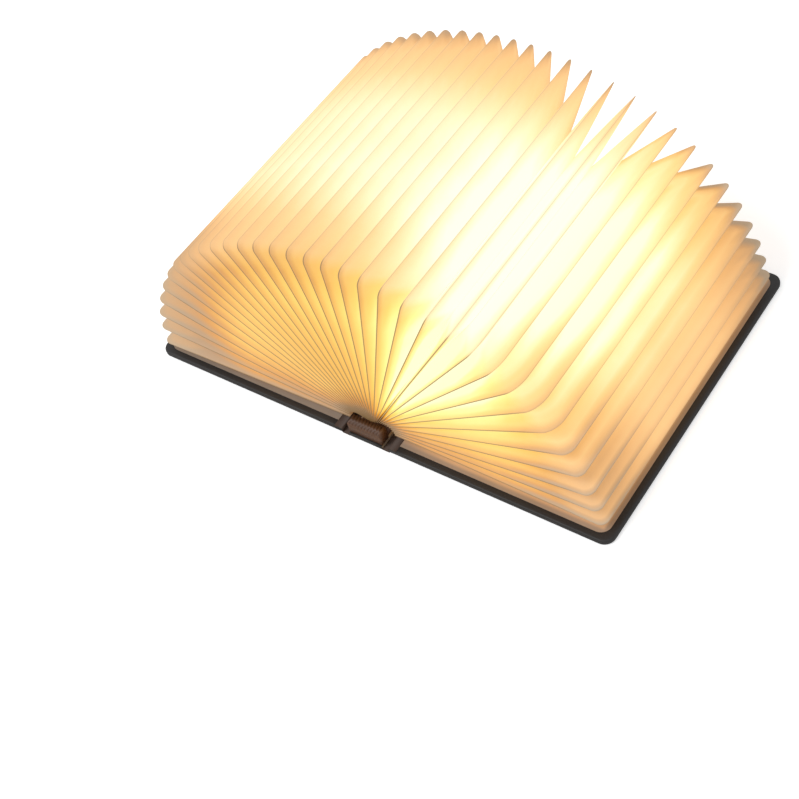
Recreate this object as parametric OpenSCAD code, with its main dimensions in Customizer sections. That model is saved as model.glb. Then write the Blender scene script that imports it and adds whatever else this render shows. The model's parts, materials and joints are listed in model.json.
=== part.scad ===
// Folding book lamp. A hard cover opens about two cloth hinges at the spine,
// and a fan of pleated pages spreads over a battery light that runs along it.
// Millimetres. +Y runs along the spine and the lamp lies open on z = 0.

/* [Covers] */
// Length of the covers, along the spine
cover_l = 215; // [185:1:250]
// Width of one cover, from its hinge line to its fore edge
cover_w = 148.2; // [125:0.1:170]
// Thickness of the closed lamp, over both covers
closed_t = 33.6; // [32:0.1:40]
// Thickness of the board in a cover
board_t = 3; // [2.4:0.1:3.2]
// Thickness of the covering cloth
cloth_t = 0.5; // [0.3:0.05:0.6]
// Thickness of the paper lining inside a cover
lining_t = 0.3; // [0.2:0.05:0.5]
// Radius of the corners at the fore edge
corner_r = 7; // [3:0.5:12]
// Width of the cloth turned in over the board's edges
turn_in = 14; // [10:0.5:20]
// Bare cloth left round the lining
lining_inset = 4.5; // [2:0.5:8]
// Distance from the hinge line to the lining
lining_root = 6; // [5:0.5:10]
// Distance from the hinge line to the board
hinge_gap = 0.5; // [0.3:0.1:1]
// Thickness of the spine board
spine_t = 2; // [1.5:0.1:2.5]
// Room between the spine board and a closed cover
spine_clear = 0.5; // [0.3:0.1:0.8]

/* [Pages] */
// Number of pleated pages
page_count = 34; // [24:1:34]
// Lean of the first page from upright, to the left
first_lean = 88.2; // [86:0.1:89]
// Lean of the last page from upright, to the right
last_lean = 86.8; // [82:0.1:88]
// How far the pages right of the crown are drawn back together, in degrees
crowding = 2.2; // [0:0.1:2.4]
// The page that is drawn back the most, counted from the left
crowded_page = 20.5; // [18:0.5:23]
// Spread of the crowding, in pages
crowding_spread = 3.5; // [2:0.5:5]
// How far the pages over the right cover sink towards it, in degrees
sinking = 2.2; // [0:0.1:2.4]
// Where the sinking starts, as a share of the way from the first page to the last
sinking_from = 0.68; // [0.6:0.01:0.75]
// Depth of the pleats, inwards from the pages' edges
pleat_depth = 34; // [24:1:42]
// Radius of a page's corners
page_r = 5; // [3:0.5:12]
// Radius of the fold's corners at the bottom of the pleats
fold_r = 3; // [1.5:0.5:6]
// Thickness of the paper
paper_t = 0.3; // [0.2:0.01:0.3]
// Room between neighbouring pleats where they meet
fold_gap = 0.04; // [0.03:0.01:0.08]
// Distance from the covers' head and tail to the pages
page_margin_end = 8.5; // [6:0.5:10]
// Distance from the closed covers' fore edge to the pages
page_margin_fore = 2; // [2:0.1:8]
// Room between the lining and a page that lies on it
page_lift = 0.3; // [0.2:0.05:0.5]
// Height of the arch on which the pages stand
arch_h = 11; // [9.5:0.1:12]
// Fullness of the arch, from 1 for straight flanks to 2 for an ellipse
arch_power = 1.4; // [1.4:0.05:2]
// How far the pages between the crown and the covers turn outside the arch
page_swell = 5; // [0:0.5:6]

/* [Light] */
// Height of the end blocks, from the spine board
block_h = 10.5; // [9:0.1:12]
// Room between a part of the light and the part that it fits
fit_gap = 0.3; // [0.2:0.05:0.4]
// Thickness of the light tray's walls
tray_wall = 1; // [0.8:0.1:1.4]
// Width of the battery cell
cell_w = 17; // [14:0.5:17]
// Room in the tray past each end of the battery cell
cell_end_room = 18.7; // [17:0.1:30]
// Thickness of the battery cell
cell_t = 5.6; // [4:0.1:6]
// Thickness of the board that carries the light chips
led_board_t = 1; // [0.8:0.1:1.6]
// Length of a light chip, across the board
chip_l = 3.5; // [2:0.1:5]
// Width of a light chip
chip_w = 2.8; // [1.6:0.1:3]
// Height of a light chip
chip_t = 0.7; // [0.5:0.1:1]
// Number of light chips
chip_count = 24; // [12:1:30]
// Rise of the diffuser over its edges
diffuser_rise = 4; // [3:0.1:6]
// Thickness of the diffuser
diffuser_t = 1.2; // [0.8:0.1:1.6]

/* [Charging and switch] */
// Thickness of the charging board
charge_board_t = 0.8; // [0.6:0.1:1]
// Half width of the charging board
charge_board_half = 8; // [7:0.1:8.4]
// Width of the charging inlet
inlet_w = 8.94; // [8.9:0.01:9]
// Height of the charging inlet
inlet_h = 3.2; // [3.16:0.01:3.26]
// Depth of the charging inlet
inlet_d = 7.3; // [6.5:0.1:8]
// Radius of the charge light
charge_light_r = 1; // [0.8:0.1:1.2]
// Distance of the charge light from the middle
charge_light_x = 7; // [6.7:0.1:7.2]
// Radius of a closing magnet
magnet_r = 4; // [3:0.1:5]
// Thickness of a closing magnet
magnet_t = 1.5; // [1:0.1:1.8]
// Distance of the closing magnets from the fore edge
magnet_edge = 14; // [12:0.5:20]
// Distance of the closing magnets from the cover's head and tail
magnet_end = 32.5; // [25:0.5:50]
// Radius of the magnet that works the switch
switch_magnet_r = 2; // [1.5:0.1:3]
// Thickness of the magnet that works the switch
switch_magnet_t = 1; // [0.8:0.1:1.4]
// Distance of the switch from the mouth of the inlet
switch_end = 24.5; // [18:0.5:28]

/* [Hidden] */
$fn = 48;
eps = 0.01;
// the covers
cover_cloth_top = board_t + 2 * cloth_t;
cover_t = cover_cloth_top + lining_t;
hinge_x = closed_t / 2;
root_x = hinge_x + hinge_gap;
fore_x = hinge_x + cover_w;
half_l = cover_l / 2;
board_top = cloth_t + board_t;
magnet_x = fore_x - magnet_edge;
magnet_y = half_l - magnet_end;
magnet_gap = 0.05;
switch_magnet_x = root_x + lining_root;
// the spine
spine_half = hinge_x - cover_t - spine_clear;
floor_z = cloth_t + spine_t;
// the pages
page_y = half_l - page_margin_end;
page_top = cover_w - page_margin_fore;
page_pitch = (first_lean + last_lean) / (page_count - 1);
rise_steps = 4;
arc_steps = 4;
section_points = 6;
fold_fill = 0.5;
swell_peak = 2 / sqrt(27);
// the end blocks
block_inset = 1;
block_y0 = page_y - pleat_depth - fold_r;
block_y1 = half_l - block_inset;
switch_y = block_y1 - switch_end;
block_wall_y = page_y + fit_gap;
saddle_half = spine_half + 0.2;
saddle_steps = 16;
cavity_half = charge_board_half + 2 * fit_gap;
cavity_h = charge_board_t + 0.5;
inlet_cavity_half = inlet_w / 2 + 0.7;
inlet_cavity_h = charge_board_t + inlet_h + 0.6;
// the light
tray_half = spine_half - 0.5;
tray_l = 2 * (block_y0 - fit_gap);
cell_l = tray_l - 2 * cell_end_room;
tray_floor = 0.8;
ledge_w = 1.6;
ledge_t = 0.6;
tray_inner = tray_half - tray_wall;
cell_z = floor_z + tray_floor;
ledge_z = cell_z + cell_t + fit_gap;
led_board_z = ledge_z + ledge_t;
led_board_half = tray_inner - 0.2;
tray_top = led_board_z + led_board_t + chip_t + fit_gap;
chip_end = 7;
chip_pitch = (tray_l - 2 * chip_end) / chip_count;
diffuser_r = (tray_half * tray_half + diffuser_rise * diffuser_rise) / (2 * diffuser_rise);
diffuser_z = tray_top + diffuser_rise - diffuser_r;
screw_x = 5;
screw_end = 7;
screw_y = tray_l / 2 - screw_end;
screw_r = 1;
screw_head_r = 1.9;
screw_head_h = 1.2;
screw_bite = 1.5;
// the electrics
charge_board_y0 = block_y0 + 1;
charge_board_y1 = block_y1 - 1.2;
charge_top = floor_z + charge_board_t;
inlet_z = charge_top + inlet_h / 2;
inlet_wall = 0.3;
tongue_w = 6.7;
tongue_t = 0.7;
charge_light_z = charge_top + 1.6;
lamp_body = 2.4;
lead_r = 0.6;
lead_x = 1.6;
lead_lap = 6;

PAGES = [for (i = [1:page_count]) str("page_", i < 10 ? "0" : "", i)];

// ---- where the pages stand

// how far the page i is along the stretch that sinks, from 0 to 1 at the last page
function sunk(i) = max((i - 1) / (page_count - 1) - sinking_from, 0) / (1 - sinking_from);
// lean of page i from upright, to the right; a page past the ends lies on a lining
function lean(i) =
    i < 1 ? -90 :
    i > page_count ? 90 :
    -first_lean + page_pitch * (i - 1)
    - crowding * exp(-pow((i - crowded_page) / crowding_spread, 2))
    + sinking * sin(180 * pow(sunk(i), 2));
function side(i) = lean(i) < 0 ? -1 : 1;
function share(i) = abs(lean(i)) / 90;
// height of the arch where its half width is the share s of the whole
function arch(s) = arch_h * pow(1 - pow(min(s, 1), arch_power), 1 / arch_power);
// swell of the pivots' line over the arch, none at the crown and at the covers
function swell(s) = page_swell * (s - pow(s, 3)) / swell_peak;
function pivot_x(i) = side(i) * (hinge_x * share(i) + swell(share(i)));
// distance of a page from its own pivot, so that it comes to lie on the lining
function page_off(i) = (cover_t + page_lift) * share(i) + swell(share(i));
function page_len(i) = page_top - arch(share(i));
// a point of page i, u outwards from its foot and y along the spine
function page_point(i, p) = [
    pivot_x(i) - side(i) * page_off(i) * cos(lean(i)) + p[0] * sin(lean(i)),
    p[1],
    arch(share(i)) + side(i) * page_off(i) * sin(lean(i)) + p[0] * cos(lean(i))
];

// ---- the outline of a page, from its near foot round to its far foot

// quarter turn of radius r about [u, y], from near to fore edge
function corner(u, y, r) = [for (k = [0:arc_steps]) let (a = 90 * k / arc_steps)
    [u + r * sin(a), y - r * cos(a)]];
// half outline, inset by d and with corner radius r, and the whole one
function half_outline(i, d, r) = let (rise = page_len(i) - d - r) concat(
    [for (k = [0:rise_steps - 1]) [rise * k / rise_steps, d - page_y]],
    corner(rise, d + r - page_y, r)
);
function mirrored(points) = [for (k = [len(points) - 1:-1:0]) [points[k][0], -points[k][1]]];
function outline(i, d, r) = let (half = half_outline(i, d, r)) concat(half, mirrored(half));

// ---- one pleat: two leaves that meet at the page's edge and part inwards

function toward(a, b, d) = a + (b - a) * d / norm(b - a);
// the six corners of the pleat's section at one place of the outline
function section(edge, fold, before, after) =
    let (
        open_a = norm(after - fold) / 2 - fold_gap / 2,
        open_b = norm(before - fold) / 2 - fold_gap / 2,
        leaf_a = min(paper_t, fold_fill * open_a),
        leaf_b = min(paper_t, fold_fill * open_b),
        crease = max(leaf_a / open_a, leaf_b / open_b)
    )
    [
        edge,
        toward(fold, after, open_a),
        toward(fold, after, open_a - leaf_a),
        edge + (fold - edge) * crease,
        toward(fold, before, open_b - leaf_b),
        toward(fold, before, open_b)
    ];
// the place where the pleat of page i opens to, on the side of page j
function fold_point(i, j, p, q) =
    j < 1 || j > page_count ? 2 * page_point(j, q) - page_point(i, p) : page_point(j, q);

module page(i) {
    edges = outline(i, 0, page_r);
    folds = outline(i, pleat_depth, fold_r);
    folds_a = outline(i + 1, pleat_depth, fold_r);
    folds_b = outline(i - 1, pleat_depth, fold_r);
    n = len(edges);
    m = section_points;
    points = [for (k = [0:n - 1]) each section(
        page_point(i, edges[k]),
        page_point(i, folds[k]),
        fold_point(i, i - 1, folds[k], folds_b[k]),
        fold_point(i, i + 1, folds[k], folds_a[k])
    )];
    // each leaf is split the same way on both its faces, and the far half mirrors the near one
    sides = [for (k = [0:n - 2], c = [0:m - 1])
        let (a = k * m + c, b = k * m + (c + 1) % m, inward = c == 0 || c == 3, far = k > n / 2 - 1)
        each inward != far ? [[a, b, b + m], [a, b + m, a + m]] : [[a, b, a + m], [b, b + m, a + m]]];
    near = [for (c = [1:m - 2]) [0, c + 1, c]];
    far = [for (c = [1:m - 2]) [(n - 1) * m, (n - 1) * m + c, (n - 1) * m + c + 1]];
    color("moccasin")
        polyhedron(points, concat(sides, near, far));
}

// ---- covers, drawn for the right side

// flat slab from x0 to the fore edge at x1, rounded there
module slab(x0, x1, half, r, z0, h) {
    translate([0, 0, z0])
        linear_extrude(h) {
            translate([x0, -half])
                square([x1 - r - x0, 2 * half]);
            translate([x0, r - half])
                square([x1 - x0, 2 * (half - r)]);
            for (s = [-1, 1])
                translate([x1 - r, s * (half - r)])
                    circle(r);
        }
}

module magnet_places() {
    for (s = [-1, 1])
        translate([magnet_x, s * magnet_y, board_top])
            children();
}

module disc(r, h) {
    translate([0, 0, -h])
        cylinder(h = h, r = r);
}

module cover_board() {
    difference() {
        slab(root_x, fore_x - cloth_t, half_l - cloth_t, corner_r - cloth_t, cloth_t, board_t);
        magnet_places()
            disc(magnet_r + magnet_gap, magnet_t);
        children();
    }
}

module cover_cloth() {
    difference() {
        slab(root_x, fore_x, half_l, corner_r, 0, cover_cloth_top);
        slab(root_x - eps, fore_x - cloth_t, half_l - cloth_t, corner_r - cloth_t, cloth_t, board_t);
        slab(root_x - eps, fore_x - turn_in, half_l - turn_in, corner_r - cloth_t, board_top - eps, 1);
        translate([root_x - eps, -half_l, board_top - eps])
            cube([lining_root - hinge_gap + eps, cover_l, 1]);
    }
}

module cover_lining() {
    slab(hinge_x + lining_root, fore_x - lining_inset, half_l - lining_inset,
        corner_r - cloth_t, cover_cloth_top, lining_t);
    slab(hinge_x + lining_root, fore_x - turn_in, half_l - turn_in,
        corner_r - cloth_t, board_top, cloth_t + eps);
}

module cover_magnets() {
    magnet_places()
        disc(magnet_r, magnet_t);
}

module switch_magnet_place() {
    translate([switch_magnet_x, switch_y, board_top])
        children();
}

module hinge_cloth() {
    translate([spine_half, -half_l, 0])
        cube([root_x - spine_half, cover_l, cloth_t]);
}

module to_left() {
    mirror([1, 0, 0])
        children();
}

module front_board() { color("tan") to_left() cover_board(); }
module front_cloth() { color([0.17, 0.23, 0.30]) to_left() cover_cloth(); }
module front_lining() { color([0.75, 0.72, 0.68]) to_left() cover_lining(); }
module front_magnets() { color("silver") to_left() cover_magnets(); }
module front_hinge_cloth() { color([0.14, 0.13, 0.13]) to_left() hinge_cloth(); }
module back_cloth() { color([0.17, 0.23, 0.30]) cover_cloth(); }
module back_lining() { color([0.75, 0.72, 0.68]) cover_lining(); }
module back_magnets() { color("silver") cover_magnets(); }
module back_hinge_cloth() { color([0.14, 0.13, 0.13]) hinge_cloth(); }

module back_board() {
    color("tan")
        cover_board()
            switch_magnet_place()
                disc(switch_magnet_r + magnet_gap, switch_magnet_t);
}

module switch_magnet() {
    color("silver")
        switch_magnet_place()
            disc(switch_magnet_r, switch_magnet_t);
}

// ---- the spine and its end blocks

module spine_board() {
    color("tan")
        translate([-spine_half, cloth_t - half_l, cloth_t])
            difference() {
                cube([2 * spine_half, cover_l - 2 * cloth_t, spine_t]);
                translate([spine_half, half_l - cloth_t, spine_t])
                    screw_places()
                        disc(screw_r, screw_bite);
            }
}

module spine_cloth() {
    color([0.14, 0.13, 0.13]) {
        translate([-spine_half, -half_l, 0])
            cube([2 * spine_half, cover_l, cloth_t]);
        for (s = [-1, 1])
            translate([-spine_half, s * (half_l - cloth_t / 2) - cloth_t / 2, 0])
                cube([2 * spine_half, cloth_t, floor_z]);
    }
}

// the block's arched top, on which the pages' feet stand
module saddle() {
    flank = [for (k = [0:saddle_steps]) let (s = k / saddle_steps)
        [saddle_half * s, max(arch(s) - fit_gap, floor_z)]];
    outline = [for (p = flank) if (p[1] > floor_z) p];
    edge_x = outline[len(outline) - 1][0];
    translate([0, block_wall_y, 0])
        rotate([90, 0, 0])
            linear_extrude(block_wall_y - block_y0)
                polygon(concat(
                    [for (k = [len(outline) - 1:-1:0]) [-outline[k][0], outline[k][1]]],
                    [for (k = [1:len(outline) - 1]) outline[k]],
                    [[edge_x, floor_z], [-edge_x, floor_z]]
                ));
}

module block_wall() {
    translate([-spine_half, block_wall_y, floor_z])
        cube([2 * spine_half, block_y1 - block_wall_y, block_h]);
}

module end_block_near() {
    color("saddlebrown")
        mirror([0, 1, 0]) {
            saddle();
            block_wall();
        }
}

module end_block_far() {
    color("saddlebrown")
        difference() {
            union() {
                saddle();
                block_wall();
            }
            translate([-cavity_half, block_y0 - eps, floor_z - eps])
                cube([2 * cavity_half, charge_board_y1 + fit_gap - block_y0, cavity_h]);
            translate([-inlet_cavity_half, block_y0 - eps, floor_z - eps])
                cube([2 * inlet_cavity_half, block_wall_y - block_y0, inlet_cavity_h]);
            translate([0, block_y1 + eps, inlet_z])
                inlet_slot(fit_gap / 2, block_y1 - block_wall_y + 1);
            translate([charge_light_x, block_y1 + eps, charge_light_z])
                rotate([90, 0, 0])
                    cylinder(h = block_y1 - block_wall_y, r = charge_light_r);
            translate([charge_light_x - lamp_body / 2 - magnet_gap, block_wall_y - eps, floor_z])
                cube([lamp_body + 2 * magnet_gap, lamp_body, charge_board_t + lamp_body + fit_gap]);
        }
}

// ---- the light

module light_tray() {
    color("gainsboro")
        difference() {
            translate([-tray_half, -tray_l / 2, floor_z])
                cube([2 * tray_half, tray_l, tray_top - floor_z]);
            translate([ledge_w - tray_inner, -half_l, cell_z])
                cube([2 * (tray_inner - ledge_w), cover_l, tray_top]);
            translate([-tray_inner, -half_l, cell_z])
                cube([2 * tray_inner, cover_l, ledge_z - cell_z]);
            translate([-tray_inner, -half_l, led_board_z])
                cube([2 * tray_inner, cover_l, tray_top]);
            translate([0, 0, cell_z])
                screw_places()
                    disc(screw_r + magnet_gap, tray_floor + 1);
        }
}

module screw_places() {
    for (sx = [-1, 1], sy = [-1, 1])
        translate([sx * screw_x, sy * screw_y, 0])
            children();
}

module tray_screws() {
    color("silver")
        translate([0, 0, cell_z])
            screw_places() {
                cylinder(h = screw_head_h, r = screw_head_r);
                disc(screw_r, tray_floor + screw_bite);
            }
}

module battery_cell() {
    color("lightsteelblue")
        translate([-cell_w / 2, -cell_l / 2, cell_z])
            cube([cell_w, cell_l, cell_t]);
}

module battery_leads() {
    color("firebrick")
        for (s = [-1, 1])
            translate([s * lead_x, cell_l / 2, charge_top + lead_r])
                rotate([-90, 0, 0])
                    cylinder(h = charge_board_y0 + lead_lap - cell_l / 2, r = lead_r);
}

module led_board() {
    color("white")
        translate([-led_board_half, 1 - tray_l / 2, led_board_z])
            cube([2 * led_board_half, tray_l - 2, led_board_t]);
}

module led_chips() {
    color("khaki")
        for (k = [0:chip_count - 1])
            translate([-chip_l / 2, (k + 0.5 - chip_count / 2) * chip_pitch - chip_w / 2,
                led_board_z + led_board_t])
                cube([chip_l, chip_w, chip_t]);
}

// slice of the diffuser's round, of radius r
module diffuser_slice(r, h) {
    intersection() {
        translate([0, h / 2, diffuser_z])
            rotate([90, 0, 0])
                cylinder(h = h, r = r, $fn = 96);
        translate([-tray_half, -tray_l, tray_top])
            cube([2 * tray_half, 2 * tray_l, diffuser_rise + 1]);
    }
}

module diffuser() {
    color("ivory")
        difference() {
            diffuser_slice(diffuser_r, tray_l);
            diffuser_slice(diffuser_r - diffuser_t, tray_l - 2 * diffuser_t);
        }
}

// ---- charging and switch

module charge_board() {
    color("darkgreen")
        translate([-charge_board_half, charge_board_y0, floor_z])
            cube([2 * charge_board_half, charge_board_y1 - charge_board_y0, charge_board_t]);
}

// stadium of the inlet's outline grown by g, reaching d inwards from its mouth
module inlet_slot(g, d) {
    r = inlet_h / 2 + g;
    rotate([90, 0, 0])
        linear_extrude(d) {
            square([inlet_w - inlet_h, 2 * r], center = true);
            for (s = [-1, 1])
                translate([s * (inlet_w - inlet_h) / 2, 0])
                    circle(r);
        }
}

module usb_inlet() {
    color("silver")
        translate([0, block_y1, inlet_z]) {
            difference() {
                inlet_slot(0, inlet_d);
                translate([0, eps, 0])
                    inlet_slot(-inlet_wall, inlet_d - 1);
            }
            translate([-tongue_w / 2, -inlet_d + 0.5, -tongue_t / 2])
                cube([tongue_w, inlet_d - 1.2, tongue_t]);
        }
}

module charge_light() {
    color("orange")
        translate([charge_light_x, block_y1, charge_light_z]) {
            rotate([90, 0, 0])
                cylinder(h = block_y1 - block_wall_y - magnet_gap, r = charge_light_r - magnet_gap);
            translate([-lamp_body / 2, block_wall_y - block_y1 + magnet_gap, charge_top - charge_light_z])
                cube([lamp_body, lamp_body - 2 * magnet_gap, lamp_body]);
        }
}

module magnet_switch() {
    color([0.1, 0.1, 0.1])
        translate([inlet_cavity_half - 3.4, switch_y - 1.5, charge_top])
            cube([1.6, 3, 1.1]);
}

spine_board();
spine_cloth();
front_hinge_cloth();
back_hinge_cloth();
end_block_near();
end_block_far();
light_tray();
tray_screws();
battery_cell();
battery_leads();
led_board();
led_chips();
diffuser();
charge_board();
usb_inlet();
charge_light();
magnet_switch();
front_board();
front_cloth();
front_lining();
front_magnets();
back_board();
back_cloth();
back_lining();
back_magnets();
switch_magnet();
for (i = [1:page_count]) page(i);
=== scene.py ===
"""Looks of a folding book lamp: pleated pages that glow round a light, held by two hard cloth covers."""

import json
import math
import random

import bmesh
import bpy
from mathutils import Matrix, Vector


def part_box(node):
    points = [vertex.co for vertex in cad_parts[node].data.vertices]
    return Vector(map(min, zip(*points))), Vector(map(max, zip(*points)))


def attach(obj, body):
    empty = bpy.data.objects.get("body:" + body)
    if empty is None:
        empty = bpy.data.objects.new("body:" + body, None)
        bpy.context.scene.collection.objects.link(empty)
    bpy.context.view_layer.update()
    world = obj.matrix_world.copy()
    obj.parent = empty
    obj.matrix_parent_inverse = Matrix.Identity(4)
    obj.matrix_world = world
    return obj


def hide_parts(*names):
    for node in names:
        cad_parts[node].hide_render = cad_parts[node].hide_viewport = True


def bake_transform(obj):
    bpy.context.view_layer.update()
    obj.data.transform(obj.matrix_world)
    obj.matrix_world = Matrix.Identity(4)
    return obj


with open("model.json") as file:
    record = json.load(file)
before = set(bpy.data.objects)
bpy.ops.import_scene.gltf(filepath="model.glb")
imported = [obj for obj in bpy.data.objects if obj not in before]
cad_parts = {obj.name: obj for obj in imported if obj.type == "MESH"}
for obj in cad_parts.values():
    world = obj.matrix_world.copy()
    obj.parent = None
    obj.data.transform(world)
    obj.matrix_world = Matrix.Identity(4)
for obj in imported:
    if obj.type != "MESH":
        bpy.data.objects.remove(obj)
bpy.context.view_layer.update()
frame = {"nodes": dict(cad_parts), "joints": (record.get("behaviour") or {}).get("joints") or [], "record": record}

# ---- sizes, in metres

MM = 0.001
RIGHT_ANGLE = math.pi / 2

# the pages, as the CAD model has them
page_count = 34
page_lift = 0.3 * MM
pleat_depth = 34 * MM
page_radius = 5 * MM
fold_radius = 3 * MM
fold_gap = 0.04 * MM

# the folded paper
paper_thickness = 0.22 * MM
crease_radius = 0.3 * MM
# how far a leaf bows out, as a share of its breadth
leaf_bulge = 0.05
# how far the lowest pages stand out at the near end, and the leans in degrees over which that grows
near_spread = 5.5 * MM
spread_leans = (55, 80)
# how much rounder the near corners are on the pages that bow most, and where that starts and ends
near_softness = 6 * MM
softer_leans = (28, 42)
sharper_leans = (60, 72)
# the sizes blend_line works the turn beside a pleat from: its reach from the hinge, and its breadth for the page
# that stays upright, from the spine to the next page
blend_radius = 105 * MM
crown_blend = 10 * MM

# the covering cloth and the strips of it by the hinges
cloth_thickness = 0.38 * MM
cloth_round = 1.1 * MM
turn_in = 14 * MM
corner_radius = 7 * MM
least_radius = 0.5 * MM
strip_thickness = 0.3 * MM
strip_overlap = 0.1 * MM
strip_rise = 0.12 * MM
spine_cloth_thickness = 0.25 * MM
spine_turn_in = 2.5 * MM
# a bent rim: how far the bend reaches, and how far its middle point stands in from the corner
rim_bend = 0.3 * MM
strip_bend_cut = 0.1 * MM
spine_bend_cut = 0.08 * MM

# the near end block's comb
comb_teeth = 11
tooth_cuts = (1.6 * MM, 2.8 * MM)
foot_gap = 0.3 * MM
saddle_lap = MM

foil_thickness = 0.1 * MM
foil_step = 0.004 * MM
foil_layers = 16

# how finely the meshes are divided
edge_steps = 11
corner_steps = 8
fore_steps = 14
crease_steps = 2
leaf_steps = 7
leaf_crowding = 1.3
rim_steps = 4
hinge_steps = 12
strip_steps = 6
spine_steps = 4

# places read from the CAD model
hinge_x = abs(frame["joints"][0]["pos_m"][0])
page_end_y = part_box("page_18")[1].y
page_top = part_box("page_18")[1].z
lining_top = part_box("back_lining")[1].z
lining_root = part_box("back_lining")[0].x
lining_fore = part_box("back_lining")[1].x
lining_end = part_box("back_lining")[0].y
cover_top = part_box("back_cloth")[1].z
cover_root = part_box("back_cloth")[0].x
cover_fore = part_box("back_cloth")[1].x
cover_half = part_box("back_cloth")[1].y
spine_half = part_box("spine_board")[1].x
spine_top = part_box("spine_board")[1].z
cloth_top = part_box("back_hinge_cloth")[1].z


# ---- small sums

def mix(a, b, share):
    return a + (b - a) * share


def between(stops, value):
    """Straight interpolation between (place, amount) stops."""
    for (a, low), (b, high) in zip(stops, stops[1:]):
        if value <= b:
            return mix(low, high, max(value - a, 0) / (b - a))
    return stops[-1][1]


def smooth(low, high, value):
    """0 below low, 1 above high and a smooth rise between."""
    share = min(max((value - low) / (high - low), 0), 1)
    return share * share * (3 - 2 * share)


# ---- meshes

def new_piece(name, mesh, material):
    """A finished mesh as a smooth-shaded piece of the object."""
    data = bpy.data.meshes.new(name)
    mesh.to_mesh(data)
    mesh.free()
    data.polygons.foreach_set("use_smooth", [True] * len(data.polygons))
    data.materials.append(material)
    piece = bpy.data.objects.new(name, data)
    bpy.context.scene.collection.objects.link(piece)
    return piece


def give_wall(piece, thickness):
    """Gives an open sheet a closed wall, inwards from the side it shows."""
    wall = piece.modifiers.new("wall", "SOLIDIFY")
    wall.thickness = thickness
    wall.offset = -1
    return piece


# ---- the fan of pages

def half_outline(reach, end, radius):
    """Points (rise, y) along the near end of a page and round its corner."""
    rise = reach - radius
    edge = [(rise * k / edge_steps, -end) for k in range(edge_steps)]
    turns = [RIGHT_ANGLE * k / corner_steps for k in range(corner_steps + 1)]
    return edge + [(rise + radius * math.sin(a), radius * (1 - math.cos(a)) - end) for a in turns]


class Page:
    """Where one page stands: its lean, the line it turns about and the body that it turns with."""

    def __init__(self, body, lean, pivot):
        self.body = body
        self.lean = lean
        self.side = -1 if lean < 0 else 1
        self.share = abs(lean) / RIGHT_ANGLE
        self.pivot = Vector(pivot)
        self.offset = abs(self.pivot.x) - (hinge_x - lining_top - page_lift) * self.share
        self.length = page_top - self.pivot.z

    def across(self):
        """Unit vector square to the page, to its right."""
        return Vector((math.cos(self.lean), 0, -math.sin(self.lean)))

    def point(self, rise, y):
        """A point of the page's plane, rise outwards from its foot and y along the spine."""
        along = Vector((math.sin(self.lean), 0, math.cos(self.lean)))
        return self.pivot - self.across() * self.side * self.offset + along * rise + Vector((0, y, 0))

    def outline(self, inset, radius):
        """Points from the near foot, round the fore edge and back to the far foot, inset from the edge."""
        reach, end = self.length - inset, page_end_y - inset
        lean = math.degrees(self.lean)
        softer = near_softness * smooth(*softer_leans, lean) * (1 - smooth(*sharper_leans, lean))
        near = half_outline(reach, end, radius + softer)
        far = [(u, -y) for u, y in reversed(half_outline(reach, end, radius))]
        fore = [(reach, mix(near[-1][1], far[0][1], k / fore_steps)) for k in range(1, fore_steps)]
        spread = near_spread * smooth(*spread_leans, abs(lean))
        return [self.point(u, y - spread * min(u / self.length, 1) * smooth(0, end, -y))
                for u, y in near + fore + far]


def read_fan():
    """The pages from left to right, with the two linings as the places past the ends."""
    joints = {joint["name"]: joint for joint in frame["joints"]}
    couplings = {c["joint"]: c["ratio"] for c in frame["record"]["behaviour"]["couplings"]}
    fan = {
        0: Page("front_cover", -RIGHT_ANGLE, joints["front_cover_hinge"]["pos_m"]),
        page_count + 1: Page("back_cover", RIGHT_ANGLE, joints["back_cover_hinge"]["pos_m"]),
    }
    for number in range(1, page_count + 1):
        fold = f"page_{number:02d}_fold"
        if fold in joints:
            lean = -joints[fold]["axis"][1] * couplings[fold] * RIGHT_ANGLE
            fan[number] = Page(f"page_{number:02d}", lean, joints[fold]["pos_m"])
    for number in range(1, page_count + 1):
        if number not in fan:
            before, after = fan[number - 1], fan[number + 1]
            fan[number] = Page("spine", (before.lean + after.lean) / 2, (before.pivot + after.pivot) / 2)
    return fan


fan = read_fan()
crown_page = next(n for n in range(1, page_count + 1) if fan[n].body == "spine")


def leaf_columns():
    """Half a pleat from its crease inwards: (turn round the crease, share of the leaf) for each column."""
    crease = [(RIGHT_ANGLE * k / crease_steps, 0) for k in range(crease_steps + 1)]
    leaf = [(RIGHT_ANGLE, (k / leaf_steps) ** leaf_crowding) for k in range(1, leaf_steps + 1)]
    return crease + leaf


def fold_line(number, side):
    """Where the pleat of a page meets the one beside it, halfway between the two pages."""
    own = fan[number].outline(pleat_depth, fold_radius)
    next_to = fan[number + side].outline(pleat_depth, fold_radius)
    if not 1 <= number + side <= page_count:
        return next_to
    return [(a + b) / 2 - (b - a).normalized() * fold_gap / 2 for a, b in zip(own, next_to)]


def leaf_rows(number, side):
    """Rows of points along the outline, each from the crease down one leaf: (point, depth share)."""
    edge = fan[number].outline(0, page_radius)
    fold = fan[number].outline(pleat_depth, fold_radius)
    rows = []
    for ridge, own_fold, valley in zip(edge, fold, fold_line(number, side)):
        inward = (own_fold - ridge).normalized()
        across = (valley - own_fold).normalized()
        centre = ridge + inward * crease_radius
        start = centre + across * crease_radius
        row = []
        for turn, share in leaf_columns():
            if share == 0:
                round_it = across * math.sin(turn) - inward * math.cos(turn)
                row.append((centre + round_it * crease_radius, 0))
            else:
                bulge = across * (valley - own_fold).length * leaf_bulge * math.sin(math.pi * share)
                row.append((mix(start, valley, share) + bulge, share))
        rows.append(row)
    return rows


# ---- the glow: how strongly the light inside shines through the paper, 0 unlit to 1 white

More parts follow.
